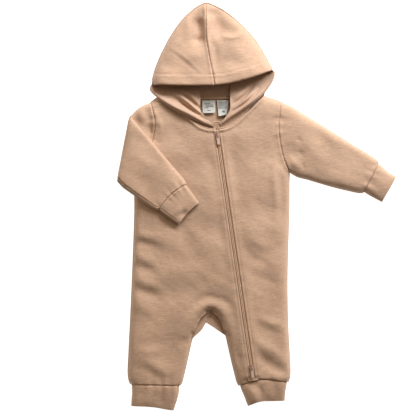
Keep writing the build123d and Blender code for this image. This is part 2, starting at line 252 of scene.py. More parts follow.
# rows of mesh points beside an outline, in millimetres from it
EDGE_RINGS = (0.35, 0.9, 1.7, 2.8, 4.2, 6.0)
LAYERED_RINGS = (0.35, 0.9, 1.5, 2.1, 2.8, 3.5, 4.2, 4.9, 5.6, 6.3, 7.2)
COARSE_RINGS = (0.6, 1.6, 3.2, 6.0)
ROW_HEIGHT = 0.866  # of a grid of even triangles, as a share of its spacing


def patch(loop, grid=2.6 * MM, rings=EDGE_RINGS):
    """A flat mesh of a closed outline, with rings of points near its edge: (points, triangles, edge size)."""
    near = Near(loop)
    ahead = np.roll(loop, -1, 0) - np.roll(loop, 1, 0)
    inward = leftward(ahead)
    points = [loop]
    for ring in rings:
        row = loop + inward * ring * MM
        row = row[inside(row, loop)]
        row = row[near(row)[0] > 0.9 * ring * MM]
        points.append(row)
    low, high = loop.min(0), loop.max(0)
    xs, ys = np.arange(low[0], high[0], grid), np.arange(low[1], high[1], grid * ROW_HEIGHT)
    gx, gy = np.meshgrid(xs, ys)
    gx = gx + (np.arange(len(ys)) % 2)[:, None] * grid / 2
    field = np.stack([gx.ravel(), gy.ravel()], 1)
    field = field[inside(field, loop)]
    field = field[near(field)[0] > rings[-1] * MM + 0.55 * grid]
    points = np.vstack([*points, field])
    size = len(loop)
    outline, inner_only, tolerance = [list(range(size))], 1, 1e-7
    found = delaunay_2d_cdt([Vector(p) for p in points], [], outline, inner_only, tolerance)
    verts, _, faces, origin, _, _ = found
    back = {o[0]: k for k, o in enumerate(origin) if o}
    order = [back[k] for k in range(size) if k in back]
    rest = [k for k in range(len(verts)) if k not in set(order)]
    place = {k: n for n, k in enumerate(order + rest)}
    flat = np.array([verts[k] for k in order + rest])
    return flat, np.array([[place[k] for k in f] for f in faces if len(f) == 3]), len(order)


def line_distance(points, line):
    """Distance to a line with few points, and the share of its length where it is nearest."""
    run = runs(line)
    best, share = np.full(len(points), np.inf), np.zeros(len(points))
    for k, (a, b) in enumerate(zip(line, line[1:])):
        t = np.clip((points[:, :2] - a) @ (b - a) / ((b - a) @ (b - a)), 0, 1)
        d = norms(points[:, :2] - a - t[:, None] * (b - a))
        closer = d < best
        best[closer] = d[closer]
        share[closer] = ((run[k] + t * (run[k + 1] - run[k])) / run[-1])[closer]
    return best, share


# ---------------- the edges and seams of each layer
GROUND = [
    "back_panel", "left_sleeve_upper", "left_sleeve_lower", "left_wrist_cuff", "right_sleeve_upper",
    "left_ankle_cuff", "right_ankle_cuff",
]
FOLDED_ARM = ["right_sleeve_lower", "right_wrist_cuff"]
ABOVE = ["front_panel_left", "front_panel_right", "crotch_gusset", *FOLDED_ARM]
OUTLINES = {n: evened(node_outline(n)) for n in GROUND + ABOVE}

# the ends of each cuff's seam, and the share of its width that is left where the cuff gathers it in
CUFF_SEAMS = {
    "left_wrist_cuff": (mm((219, 83), (189, 23)), 0.90),
    "right_wrist_cuff": (mm((-124, 42), (-178, -8)), 0.95),
    "right_ankle_cuff": (mm((-135, -319), (-228, -317)), 0.95),
    "left_ankle_cuff": (mm((58, -313), (-34, -320)), 0.95),
}
for name in OUTLINES:
    for ends, _ in CUFF_SEAMS.values():
        for corner in ends:
            inward = ends.mean(0) - corner
            reach = bell(norms(OUTLINES[name] - corner), 5 * MM)
            OUTLINES[name] = OUTLINES[name] + inward / np.linalg.norm(inward) * 1.8 * MM * reach[:, None]
for name, (ends, share) in CUFF_SEAMS.items():
    loop = OUTLINES[name]
    across = (ends[1] - ends[0]) / np.linalg.norm(ends[1] - ends[0])
    off = (loop - ends.mean(0)) @ across
    fade = bell(line_distance(loop, ends)[0], 15 * MM)
    OUTLINES[name] = evened(loop - across * (off * (1 - share) * fade)[:, None])


def fine(loop):
    """A closed outline as samples for measuring distances."""
    return spaced(np.vstack([loop, loop[:1]]), 0.4 * MM)[:-1]


def nearest(line, place):
    """The number of the point that is nearest to a place."""
    return int(np.argmin(norms(line - place)))


def open_end(name, loop):
    """Which points of a cuff's outline are on its open end: the shorter way between the end's two corners."""
    size = len(loop)
    a, b = sorted(nearest(loop, corner) for corner in OPEN_ENDS[name])
    marked = np.zeros(size, bool)
    if b - a <= size - (b - a):
        marked[a : b + 1] = True
    else:
        marked[b:] = True
        marked[: a + 1] = True
    return marked


def fold_distance(points):
    """Distance from the right sleeve's crease."""
    return line_distance(points, RIGHT_FOLD)[0]


def sorted_edges(names):
    """The free, seamed and open edge samples of the pieces that lie side by side."""
    lines = {n: fine(OUTLINES[n]) for n in names}
    free, seams, opens = [], [], []
    for n, line in lines.items():
        others = Near(np.vstack([other for m, other in lines.items() if m != n]))
        shared = others(line)[0] < 1.2 * MM
        nowhere = np.zeros(len(line), bool)
        opened = open_end(n, line) if n in OPEN_ENDS else nowhere
        hooded = (np.abs(line[:, 1] - NECK_Y) < 0.3 * MM) if n == "back_panel" else nowhere
        folded = (fold_distance(line) < 1.5 * MM) if n.startswith("right_sleeve") else nowhere
        free.append(line[~shared & ~opened & ~hooded & ~folded])
        opens.append(line[opened])
        seams.append(line[shared])
    return np.vstack(free), seams, np.vstack(opens)


FREE, SEAM_LINES, OPENS = sorted_edges(GROUND)
ARM_FREE, ARM_SEAMS, ARM_OPENS = sorted_edges(FOLDED_ARM)
ARCH = smooth_line(  # the front's edge over the crotch, from the left leg to the right
    mm((-55, -231), (-60, -212), (-69, -194), (-84, -184), (-99, -194), (-110, -214), (-116, -236)), 2 * MM
)
near_arch = Near(spaced(ARCH, 0.5 * MM))
on_arch = (near_arch(FREE)[0] < 3 * MM) & (FREE[:, 1] > -228 * MM)
near_free, near_open = Near(FREE[~on_arch]), Near(OPENS)
near_arm_free, near_arm_open = Near(ARM_FREE), Near(ARM_OPENS)
SEAMED = np.vstack([s for n, s in zip(GROUND, SEAM_LINES) if n not in ("back_panel", "left_sleeve_lower")])
off_the_bend = np.abs((SEAMED - LEFT_FOLD.mean(0)) @ LEFT_FOLD_SIDE) > 4 * MM
near_seam = Near(SEAMED[off_the_bend])
near_arm_seam = Near(ARM_SEAMS[1])


def pillow(loops, step=4 * MM, rounds=1500):
    """How high a skin over these outlines stands when air lifts it, from 0 at the edges to 1: a function."""
    corners = np.vstack(loops)
    low, high = corners.min(0) - 3 * step, corners.max(0) + 3 * step
    nx, ny = np.ceil((high - low) / step).astype(int) + 1
    gx, gy = np.meshgrid(low[0] + np.arange(nx) * step, low[1] + np.arange(ny) * step)
    flat = np.stack([gx.ravel(), gy.ravel()], 1)
    covered = np.zeros(len(flat), bool)
    for loop in loops:
        covered |= inside(flat, loop)
    covered = covered.reshape(ny, nx)
    lift = np.zeros((ny, nx))
    for _ in range(rounds):
        side = lift[:-2, 1:-1] + lift[2:, 1:-1] + lift[1:-1, :-2] + lift[1:-1, 2:]
        lift[1:-1, 1:-1] = np.where(covered[1:-1, 1:-1], (side + 1) / 4, 0)
    lift = np.sqrt(lift)
    lift = np.tanh(1.3 * lift / np.percentile(lift[covered], 85))

    def height(points):
        at = (points[:, :2] - low) / step
        i = np.clip(np.floor(at).astype(int), 1, [nx - 3, ny - 3])
        f = at - i
        total = np.zeros(len(points))
        wx, wy = cubic(f[:, 0]), cubic(f[:, 1])
        for a in range(4):
            for b in range(4):
                total += wx[a] * wy[b] * lift[i[:, 1] + b - 1, i[:, 0] + a - 1]
        return np.clip(total, 0, None)

    return height


def cubic(t):
    """B-spline weights, which also smooth the grid's steps."""
    return [(1 - t) ** 3 / 6, (3 * t**3 - 6 * t**2 + 4) / 6, (-3 * t**3 + 3 * t**2 + 3 * t + 1) / 6, t**3 / 6]


ground_pillow = pillow([OUTLINES[n] for n in GROUND])
arm_pillow = pillow([OUTLINES[n] for n in FOLDED_ARM])


# ---------------- wrinkles, folds and seams
def waves(wavelength, seed, count=36, stretch=(1.0, 1.0)):
    """Smooth random unevenness about one unit high, of about this wavelength: a function of points."""
    rng = np.random.default_rng(seed)
    angle = rng.uniform(0, 2 * np.pi, count)
    size = 2 * np.pi / (wavelength * rng.uniform(0.7, 1.5, count))
    kx, ky = np.cos(angle) * size * stretch[0], np.sin(angle) * size * stretch[1]
    phase = rng.uniform(0, 2 * np.pi, count)

    def height(points):
        total = np.zeros(len(points))
        for a, b, p in zip(kx, ky, phase):
            total += np.sin(points[:, 0] * a + points[:, 1] * b + p)
        return total * (2 / count) ** 0.5

    return height


broad = waves(75 * MM, 1)
middling = waves(26 * MM, 2)
small = waves(9 * MM, 3)


def folds(points, rows):
    """Soft folds: each row is a height and a half-width in millimetres, then the line it follows."""
    total = np.zeros(len(points))
    for height, width, *line in rows:
        d, share = line_distance(points, smooth_line(mm(*line), 4 * MM))
        fade = np.sin(np.pi * share)
        total += height * MM * bell(d, width * MM) * fade
    return total


def dents(points, rows):
    """Soft hollows or mounds: a height, the middle's x and y and the half-widths along them, all in mm."""
    total = np.zeros(len(points))
    for height, x, y, wide, long in rows:
        away = (points[:, :2] / MM - (x, y)) / (wide, long)
        total += height * MM * np.exp(-(away**2).sum(1))
    return total


BODY_FOLDS = [
    (1.6, 9, (-236, -44), (-205, -50), (-172, -58)),
    (-1.4, 8, (-236, -62), (-200, -66), (-165, -78)),
    (1.6, 9, (-236, -80), (-205, -90), (-175, -104)),
    (-1.5, 8, (-236, -98), (-205, -108), (-170, -122)),
    (1.9, 10, (-238, -122), (-205, -132), (-168, -148)),
    (-1.6, 9, (-238, -144), (-200, -152), (-160, -168)),
    (1.5, 10, (-232, -168), (-205, -180), (-180, -196)),
    (-1.0, 14, (-150, -20), (-128, -60), (-100, -92)),
    (1.0, 14, (-132, -8), (-105, -50), (-78, -84)),
    (-0.9, 12, (-62, 30), (-58, -20), (-60, -70)),
    (-1.7, 8, (-140, -206), (-118, -178), (-96, -164), (-72, -163), (-50, -174), (-36, -204)),
    (1.2, 9, (-136, -232), (-118, -204), (-103, -184), (-84, -176), (-64, -184), (-48, -206), (-42, -240)),
    (-2.2, 9, (-140, -250), (-124, -240), (-104, -268)),
    (2.6, 13, (-30, -232), (0, -246), (34, -264), (72, -288)),
    (-1.8, 12, (-20, -250), (10, -274), (42, -292), (80, -308)),
    (1.8, 8, (12, -292), (34, -302), (56, -304)),
    (-1.0, 11, (-8, -216), (20, -222), (50, -232)),
    (1.4, 9, (-2, -196), (24, -206), (52, -212)),
    (1.8, 11, (-222, -262), (-190, -278), (-150, -308)),
    (-1.2, 11, (-222, -280), (-190, -294), (-150, -322)),
    (1.4, 9, (-222, -262), (-196, -256), (-160, -262)),
    (-1.8, 8, (-26, -244), (-32, -262), (-30, -288)),
    (1.2, 10, (-40, -252), (-22, -262), (-10, -280)),
    (-1.8, 7, (46, 100), (42, 56), (46, 8), (44, -30)),
    (1.3, 7, (34, 110), (31, 60), (34, 10), (36, -40)),
    (-1.3, 9, (-30, -70), (-4, -92), (26, -106)),
    (1.2, 10, (-22, -48), (8, -66), (38, -76)),
    (-1.0, 10, (-22, -112), (8, -128), (40, -136)),
    (-0.6, 14, (-158, 134), (-136, 118), (-112, 92)),
    (-2.4, 9, (-244, 204), (-216, 164), (-188, 126), (-166, 100)),
    (-2.1, 6, (-201, 184), (-193, 158), (-190, 130), (-196, 104)),
    (1.6, 7, (-212, 178), (-206, 150), (-206, 122)),
    (1.4, 5, (-184, 176), (-174, 150), (-172, 128)),
    (-1.8, 7, (-222, 160), (-214, 150), (-208, 138)),
    (-1.6, 6, (44, 84), (52, 66), (64, 60)),
    (1.5, 7, (52, 98), (64, 80), (84, 62)),
    (-1.0, 10, (92, 148), (120, 118), (150, 92)),
    (1.0, 12, (80, 128), (104, 96), (132, 70)),
    (-0.8, 12, (130, 130), (160, 104), (190, 84)),
    (0.9, 12, (60, 160), (84, 150), (112, 140)),
    (-1.6, 6, (-6, -312), (6, -328), (8, -348)),
    (1.4, 6, (-18, -318), (-6, -334), (-4, -352)),
    (1.0, 7, (20, -314), (26, -330), (24, -346)),
    (1.0, 8, (-200, -326), (-196, -340), (-198, -356)),
    (-1.0, 8, (-176, -326), (-172, -342), (-174, -358)),
]
ARM_FOLDS = [
    (-0.7, 13, (-206, 150), (-188, 118), (-158, 82)),
    (0.7, 14, (-232, 110), (-204, 88), (-176, 60)),
    (-1.0, 12, (-226, 134), (-208, 122), (-188, 110)),
    (-0.6, 12, (-226, 66), (-204, 50), (-180, 30)),
    (0.9, 8, (-150, 52), (-146, 34), (-150, 18)),
    (-1.6, 4, (-126, -4), (-131, -12), (-138, -16)),
    (1.2, 5, (-136, 2), (-141, -8), (-150, -14)),
]
CUFF_PUCKER = 0.75 * MM
NECK_LIP = smooth_line(FRONT_NECK, 2 * MM)
near_neck = Near(spaced(NECK_LIP, 0.5 * MM))


def zip_place(points):
    """How far down the zip each point is, and how far to its side."""
    away = points[:, :2] - ZIP_TOP
    return away @ ZIP_DOWN, away @ ZIP_SIDE


def puckers(near, points, reach, wavelength, depth):
    """Small gathers square to a seam, which fade away from it."""
    d, k = near(points)
    wave = waves(wavelength, 11, 14)(near.samples[k])
    return wave * depth * fading(d, reach) * (1 - fading(d, 1.2 * MM))


def groove(d, depth, width):
    """A groove of this depth and half-width, in millimetres, where d is 0."""
    return -depth * MM * bell(d, width * MM)


def ground_top(points):
    """The height of the cloth that lies on the table."""
    d, d_open, seam, arch, neck = (
        near(points)[0] for near in (near_free, near_open, near_seam, near_arch, near_neck)
    )
    rise = 1 - fading(d, EDGE_ROUND)
    calm = 1 - fading(d, 7 * MM)
    cuffs = 1 - 0.3 * fading(d_open, 16 * MM)
    rise = rise * (1 - 0.24 * fading(arch, 2.6 * MM))
    z = EDGE_Z + (EDGE_RISE * rise + PILLOW * ground_pillow(points) * rise) * cuffs
    z += calm * (1.5 * folds(points, BODY_FOLDS) + 1.1 * MM * broad(points) + 0.14 * MM * middling(points))
    z += calm * 0.06 * MM * small(points)
    # seams, with the cloth standing up on both sides and small gathers
    z += groove(seam, 1.5, 1.0) - groove(seam - 3 * MM, 0.45, 2.0) * (points[:, 1] > -306 * MM)
    z += puckers(near_seam, points, 9 * MM, 13 * MM, CUFF_PUCKER) * calm
    # a lane beside the zip: it ripples a little, is topstitched, and turns down at the teeth
    down, side = zip_place(points)
    beside = np.abs(side)
    on_zip = ramp(down, -20 * MM, 10 * MM) * ramp(-down, -ZIP_RUN - 24 * MM, 8 * MM)
    lane = on_zip * bell(np.clip(beside - 7 * MM, 0, None), 11 * MM)
    ripple = 0.3 * MM * np.sin(down / (5.5 * MM) + 2 * np.sin(down / (21 * MM)))
    z += lane * (ZIP_LANE_Z + ripple - z)
    z += on_zip * (groove(beside - 7.4 * MM, 0.8, 0.8) - groove(beside - 5.0 * MM, 0.5, 1.6))
    z -= on_zip * 1.6 * MM * fading(np.clip(beside - 3.2 * MM, 0, None), 0.8 * MM) * (beside < 12 * MM)
    # topstitching round the crotch's arch and under the neck seam
    z += groove(arch - 4.5 * MM, 0.6, 0.8)
    z += groove(neck - 6.5 * MM, 0.8, 0.9) - groove(neck - 2.5 * MM, 2.0, 2.4)
    return np.clip(z, 1.2 * MM, None)


def cuff_top(points):
    """A cuff is gathered in, so beside its seam it lies lower than the cloth that it joins."""
    return ground_top(points) - 1.5 * MM * fading(near_seam(points)[0], 4 * MM)


def ground_bottom(points):
    """The height of the back layer, which lies on the table and turns up at its edges."""
    d = near_free(points)[0]
    round_fold = 14.5 * MM * fading(fold_distance(points), 3.6 * MM) * (1 - fading(d, 4 * MM))
    return BACK_Z + np.maximum((EDGE_Z - BACK_Z) * fading(d, 2.6 * MM), round_fold)


ARM_EDGE = FOREARM_Z + 2.2 * MM  # where the folded forearm's two layers meet
LOWER_EDGE, LOWER_EDGE_SIDE = mm(-211, 17), np.array([0.635, 0.772])  # the edge that shows its layers


def arm_top(points):
    """The height of the forearm that is folded over the body."""
    d, d_open, seam = (near(points)[0] for near in (near_arm_free, near_arm_open, near_arm_seam))
    above = (points[:, :2] - LOWER_EDGE) @ LOWER_EDGE_SIDE
    lower = bell(np.clip(above, 0, None), 16 * MM)
    rise = 1 - fading(d, (2.2 - 1.2 * lower) * MM)
    calm = 1 - fading(d, 6 * MM)
    cuffs = 1 - 0.35 * fading(d_open, 16 * MM)
    z = ARM_EDGE + (5.6 * MM + 2.0 * MM * arm_pillow(points)) * rise * cuffs
    z -= 5.6 * MM * fading(fold_distance(points), 3.8 * MM)
    unevenness = 0.8 * MM * broad(points + 1) + 0.12 * MM * middling(points + 1)
    z += calm * (1.5 * folds(points, ARM_FOLDS) + unevenness)
    z += groove(seam, 1.5, 1.0) - groove(seam - 3 * MM, 0.4, 2.0)
    z += puckers(near_arm_seam, points, 8 * MM, 12 * MM, 0.6 * MM) * calm
    # the lower edge steps down twice, as layers that lie on each other
    for edge in (5.6 * MM, 2.8 * MM):
        z += lower * (groove(d - edge, 1.9, 0.7) - 0.8 * MM / (1 + np.exp((d - edge) / (0.22 * MM))))
    return np.maximum(z, ARM_EDGE - 0.2 * MM)


def arm_bottom(points):
    """The underside of the folded forearm."""
    return FOREARM_Z + (ARM_EDGE - FOREARM_Z) * fading(near_arm_free(points)[0], 2.4 * MM)


# ---------------- materials
# "cloth" is each point's place on the cloth at rest, so patterns stay on it when it moves
def shader(name, colour, roughness, sheen=0.0, coat=0.0, specular=0.5):
    material = bpy.data.materials.new(name)
    material.use_nodes = True
    tree = material.node_tree
    body = tree.nodes["Principled BSDF"]
    body.inputs["Base Color"].default_value = (*colour, 1)
    body.inputs["Roughness"].default_value = roughness
    body.inputs["Specular IOR Level"].default_value = specular
    body.inputs["Sheen Weight"].default_value = sheen
    body.inputs["Sheen Roughness"].default_value = 0.5
    body.inputs["Coat Weight"].default_value = coat
    return material, tree, body


def cloth_place(tree, scale):
    """The point on the cloth at rest, stretched by a scale along x, y and z."""
    where = tree.nodes.new("ShaderNodeAttribute")
    where.attribute_name = "cloth"
    mapping = tree.nodes.new("ShaderNodeMapping")
    mapping.inputs["Scale"].default_value = scale
    tree.links.new(where.outputs["Vector"], mapping.inputs["Vector"])
    return mapping.outputs["Vector"]


def noise(tree, place, scale=1.0, detail=2.0, rough=0.5):
    node = tree.nodes.new("ShaderNodeTexNoise")
    node.inputs["Scale"].default_value = scale
    node.inputs["Detail"].default_value = detail
    node.inputs["Roughness"].default_value = rough
    tree.links.new(place, node.inputs["Vector"])
    return node.outputs["Fac"]


def ribs(tree, stretch, direction="X", distortion=0.0, detail=2.0):
    """Even ribs across the cloth, from 0 to 1."""
    node = tree.nodes.new("ShaderNodeTexWave")
    node.bands_direction = direction
    node.inputs["Scale"].default_value = 1.0
    node.inputs["Distortion"].default_value = distortion
    node.inputs["Detail"].default_value = detail
    tree.links.new(cloth_place(tree, stretch), node.inputs["Vector"])
    return node.outputs["Fac"]


def maths(tree, operation, a, b):
    node = tree.nodes.new("ShaderNodeMath")
    node.operation = operation
    for socket, value in zip(node.inputs, (a, b)):
        if isinstance(value, (int, float)):
            socket.default_value = value
        else:
            tree.links.new(value, socket)
    return node.outputs[0]


def weighted(tree, *parts):
    """The sum of these values, each times its weight."""
    total, *others = [maths(tree, "MULTIPLY", value, weight) for value, weight in parts]
    for part in others:
        total = maths(tree, "ADD", total, part)
    return total


def contrasted(tree, value, start, contrast):
    return maths(tree, "MULTIPLY", maths(tree, "SUBTRACT", value, start), contrast)


def shaded(tree, body, colour, darkest, lightest, amount):
    """Base colour between a darker and a lighter shade, by an amount that varies over the cloth."""
    mix = tree.nodes.new("ShaderNodeMix")
    mix.data_type = "RGBA"
    mix.inputs["A"].default_value = (*(c * darkest for c in colour), 1)
    mix.inputs["B"].default_value = (*(min(1, c * lightest) for c in colour), 1)
    tree.links.new(amount, mix.inputs["Factor"])
    tree.links.new(mix.outputs["Result"], body.inputs["Base Color"])


def bumped(tree, body, height, distance, strength):
    bump = tree.nodes.new("ShaderNodeBump")
    bump.inputs["Strength"].default_value = strength
    bump.inputs["Distance"].default_value = distance
    tree.links.new(height, bump.inputs["Height"])
    tree.links.new(bump.outputs["Normal"], body.inputs["Normal"])


def fleece_material(name, colour):
    """Brushed fleece: heathered colour in short level streaks, fine knit ribs and a soft nap."""
    material, tree, body = shader(name, colour, 0.92, sheen=0.25, specular=0.2)
    streaks = noise(tree, cloth_place(tree, (90, 620, 300)), detail=3.0, rough=0.6)
    flecks = noise(tree, cloth_place(tree, (520, 900, 500)), rough=0.7)
    patches = noise(tree, cloth_place(tree, (14, 17, 14)))
    heather = weighted(tree, (streaks, 0.45), (flecks, 0.35), (patches, 0.2))
    shaded(tree, body, colour, 0.80, 1.18, contrasted(tree, heather, 0.36, 3.6))
    knit = ribs(tree, (230, 60, 60), distortion=1.5, detail=1.0)
    bumped(tree, body, weighted(tree, (knit, 0.25), (flecks, 0.8), (streaks, 0.7)), 0.5 * MM, 0.8)
    return material


def jersey_material(name, colour):
    """Smooth single jersey: fine stitch columns, and little heather."""
    material, tree, body = shader(name, colour, 0.8, sheen=0.15, specular=0.25)
    streaks = noise(tree, cloth_place(tree, (160, 700, 300)))
    patches = noise(tree, cloth_place(tree, (25, 30, 25)))
    heather = weighted(tree, (streaks, 0.6), (patches, 0.4))
    shaded(tree, body, colour, 0.9, 1.08, contrasted(tree, heather, 0.36, 3.2))
    columns = ribs(tree, (320, 90, 90), distortion=0.6)
    bumped(tree, body, maths(tree, "ADD", columns, streaks), 0.25 * MM, 0.6)
    return material


def woven_material(name, colour, scale, roughness=0.6, depth=0.2 * MM):
    """A fine plain weave, for tape, thread and satin labels."""
    material, tree, body = shader(name, colour, roughness, sheen=0.1, specular=0.4)
    warp = ribs(tree, (scale, scale * 0.2, scale))
    weft = ribs(tree, (scale * 0.2, scale, scale), direction="Y")
    weave = maths(tree, "MULTIPLY", warp, weft)
    uneven = noise(tree, cloth_place(tree, (1, 1, 1)), scale=250)
    shaded(tree, body, colour, 0.85, 1.1, weighted(tree, (weave, 0.5), (uneven, 0.5)))
    bumped(tree, body, weave, depth, 0.7)
    return material


def coil_material(name, colour):
    """Smooth nylon coil, a little worn."""
    material, tree, body = shader(name, colour, 0.42, coat=0.1)
    worn = noise(tree, cloth_place(tree, (700, 700, 700)))
    shaded(tree, body, colour, 0.82, 1.15, worn)
    bumped(tree, body, worn, 0.05 * MM, 0.5)
    return material


def enamel_material(name, colour):
    """Tonal enamel over die-cast metal, with small dents and a worn sheen."""
    material, tree, body = shader(name, colour, 0.36, coat=0.35)
    place = tree.nodes.new("ShaderNodeTexCoord").outputs["Object"]
    spots = noise(tree, place, scale=420, detail=3.0)
    shaded(tree, body, colour, 0.84, 1.12, spots)
    bumped(tree, body, spots, 0.06 * MM, 0.5)
    return material


FLEECE = (0.555, 0.36, 0.234)
JERSEY = (0.565, 0.37, 0.245)
LABEL = (0.70, 0.69, 0.61)
INK = (0.16, 0.17, 0.16)


def fleece_shade(share):
    """The fleece's colour, darker or lighter."""
    return [c * share for c in FLEECE]


fleece = fleece_material("brushed_fleece", FLEECE)
cuff_fleece = fleece_material("cuff_fleece", fleece_shade(0.98))
jersey = jersey_material("jersey_lining", JERSEY)
thread = woven_material("topstitch_thread", fleece_shade(0.86), 1800, 0.5, 0.05 * MM)
# painted shade: the zip tape is darker than the fleece it matches, for the shadow in the gap between the
# plackets
tape = woven_material("zip_tape", fleece_shade(0.8), 900)
neck_weave = woven_material("neck_tape", fleece_shade(1.1), 900)
satin = woven_material("label_satin", LABEL, 1500, 0.45, 0.06 * MM)
ink = woven_material("label_ink", INK, 1500, 0.5, 0.03 * MM)
# painted light: the coil is far paler than the fleece so that it reads as lit in its shaded slot between the
# plackets; the zip's stops share this colour
coil = coil_material("zip_coil", fleece_shade(1.65))
# painted shade: the slider's enamel is darker than the pull's, for the shade round the slider
slider_enamel = enamel_material("slider_enamel", (0.40, 0.25, 0.17))
pull_enamel = enamel_material("pull_enamel", (0.64, 0.43, 0.33))


# ---------------- making pieces
def grid_faces(rows, columns, first=0):
    """The faces of a grid of points that are numbered row by row."""
    corners = [first + k * columns + j for k in range(rows - 1) for j in range(columns - 1)]
    return [(a, a + columns, a + columns + 1, a + 1) for a in corners]


def flipped(faces):
    return [face[::-1] for face in faces]


def build(name, points, faces, material):
    """A smooth mesh in one material, which remembers where each point of the cloth is at rest."""
    mesh = bpy.data.meshes.new(name)
    mesh.from_pydata([tuple(p) for p in points], [], [tuple(int(i) for i in f) for f in faces])
    mesh.update()
    for polygon in mesh.polygons:
        polygon.use_smooth = True
    where = mesh.attributes.new("cloth", "FLOAT_VECTOR", "POINT")
    where.data.foreach_set("vector", np.asarray(points, np.float32).ravel())
    mesh.materials.append(material)
    piece = bpy.data.objects.new(name, mesh)
    bpy.context.scene.collection.objects.link(piece)
    return piece


def thicken(piece, thickness=CLOTH):
    """Gives a sheet its thickness, on its inner side."""
    solid = piece.modifiers.new("thickness", "SOLIDIFY")
    solid.thickness = thickness
    solid.offset = -1.0
    solid.use_rim = True
    bpy.context.view_layer.update()
    mesh = bpy.data.meshes.new_from_object(piece.evaluated_get(bpy.context.evaluated_depsgraph_get()))
    piece.modifiers.clear()
    piece.data = mesh
    return piece


EASE = 1.04  # what the folds take up: the cut cloth's area over its outline's


def declare(piece, body, nodes, layers=1, loop=None):
    """Attaches the piece to its body and hides the nodes that it replaces; for a sheet, it also works out its
    cut size and area, which nothing keeps.
    """
    if body:
        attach(piece, body)
    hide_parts(*nodes)
    if loop is not None:
        size = np.ptp(loop, axis=0)
        flat = (float(size[0] * layers), float(size[1]))
        whole = flat[0] * flat[1]
        area = min(abs(signed_area(loop)) * layers * EASE, whole)
    return piece


def top_sheet(name, loop, height, material, grid=2.6 * MM, thick=CLOTH):
    """A sheet of cloth whose face looks up."""
    flat, faces, _ = patch(loop, grid)
    return thicken(build(name, np.c_[flat, height(flat)], faces, material), thick)


def bottom_sheet(name, loop, height, material, grid=7 * MM, thick=CLOTH):
    """A sheet of cloth whose face looks down."""
    flat, faces, _ = patch(loop, grid, COARSE_RINGS)
    return thicken(build(name, np.c_[flat, height(flat)], faces[:, ::-1], material), thick)


def tube(name, loop, joined, top, bottom, material, rings=EDGE_RINGS):
    """A flattened tube of cloth: a top and a bottom that share the edge points which joined() marks."""
    flat, faces, edge = patch(loop, rings=rings)
    size = len(flat)
    shared = np.zeros(size, bool)
    shared[:edge] = joined(flat[:edge])
    twin = np.where(shared, np.arange(size), np.cumsum(~shared) - 1 + size)
    points = np.vstack([np.c_[flat, top(flat)], np.c_[flat, bottom(flat)][~shared]])
    return thicken(build(name, points, np.vstack([faces, twin[faces][:, ::-1]]), material))


def touches(samples, reach=1.0 * MM):
    """A test for points on an edge."""
    near = Near(samples)
    return lambda points: near(points)[0] < reach


def or_crease(on_edge, reach=0.8 * MM):
    """The same test, which also takes points on the right sleeve's crease."""
    return lambda points: on_edge(points) | (fold_distance(points) < reach)


on_free, on_arm_free = touches(FREE), touches(ARM_FREE)


# ---------------- body
back = bottom_sheet("back_body", OUTLINES["back_panel"], ground_bottom, fleece)
declare(back, None, ["back_panel"], loop=OUTLINES["back_panel"])
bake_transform(back)

for side in ("left", "right"):
    loop = OUTLINES[f"front_panel_{side}"]
    front = top_sheet(f"front_body_{side}", loop, ground_top, fleece)
    declare(front, "body", [f"front_panel_{side}"], loop=loop)


def bead(name, line, heights, radius, sides=8, flatten=0.7):
    """A soft ridge of fleece that follows a line."""
    path = np.c_[line, heights]
    ahead = np.gradient(path, axis=0)
    ahead /= norms(ahead)[:, None]
    across = np.cross(ahead, (0, 0, 1))
    across /= norms(across)[:, None]
    up = np.cross(across, ahead)
    rows = []
    for k in range(sides):
        turn = 2 * np.pi * k / sides
        rows.append(path + radius * (np.cos(turn) * across + flatten * np.sin(turn) * up))
    points = np.stack(rows, 1).reshape(-1, 3)
    faces = []
    count = len(path)
    for k in range(count - 1):
        for j in range(sides):
            a, b = k * sides + j, k * sides + (j + 1) % sides
            faces.append((a, b, b + sides, a + sides))
    faces.append(tuple(range(sides))[::-1])
    faces.append(tuple((count - 1) * sides + j for j in range(sides)))
    return build(name, points, faces, fleece)


def outline_between(loop, start, end, via):
    """The stretch of an outline from one point to another that passes near a third."""
    a, b = nearest(loop, start), nearest(loop, end)
    turned = np.roll(loop, -a, 0)
    stop = (b - a) % len(loop)
    first = turned[: stop + 1]
    second = np.vstack([turned[stop:], turned[:1]])[::-1]
    return min(first, second, key=lambda way: norms(way - via).min())


# where each seam starts and ends, and a place that it passes
SEAM_RUNS = {
    "side_seam_left": mm((58, 62), (58, -313), (55, -100)),
    "side_seam_right": mm((-220, 58), (-228, -317), (-222, -100)),
    "shoulder_seam_left": mm((12, 198), (43, 189), (27, 193)),
    "shoulder_seam_right": mm((-176, 198), (-190, 187), (-183, 192)),
    "inseam": mm((-34, -320), (-135, -319), (-84, -183.5)),
}
for name, (start, end, via) in SEAM_RUNS.items():
    run = spaced(outline_between(OUTLINES["back_panel"], start, end, via), 2 * MM)
    in_crotch = bell(near_arch(run)[0], 3 * MM) * ramp(run[:, 1], -236 * MM, 16 * MM)
    seam = bead(f"{name}_ridge", run, EDGE_Z - 0.2 * MM + 4.2 * MM * in_crotch, 1.0 * MM)
    declare(seam, "body", [name])


def gusset_height(points):
    """Two folds of the gusset that meet in a crease, the left one higher."""
    crease = line_distance(points, mm((-82, -184), (-82, -194), (-92, -209)))[0]
    left_of_it = 1 / (1 + np.exp((points[:, 0] + 84 * MM + (points[:, 1] + 190 * MM) * -0.45) / (1.2 * MM)))
    return 4.4 * MM + 1.4 * MM * left_of_it + groove(crease, 1.2, 1.6) - 1.0 * MM * fading(crease, 12 * MM)


gusset = top_sheet("crotch_gusset_back", OUTLINES["crotch_gusset"], gusset_height, fleece, 2.2 * MM)
declare(gusset, "body", ["crotch_gusset"], loop=OUTLINES["crotch_gusset"])

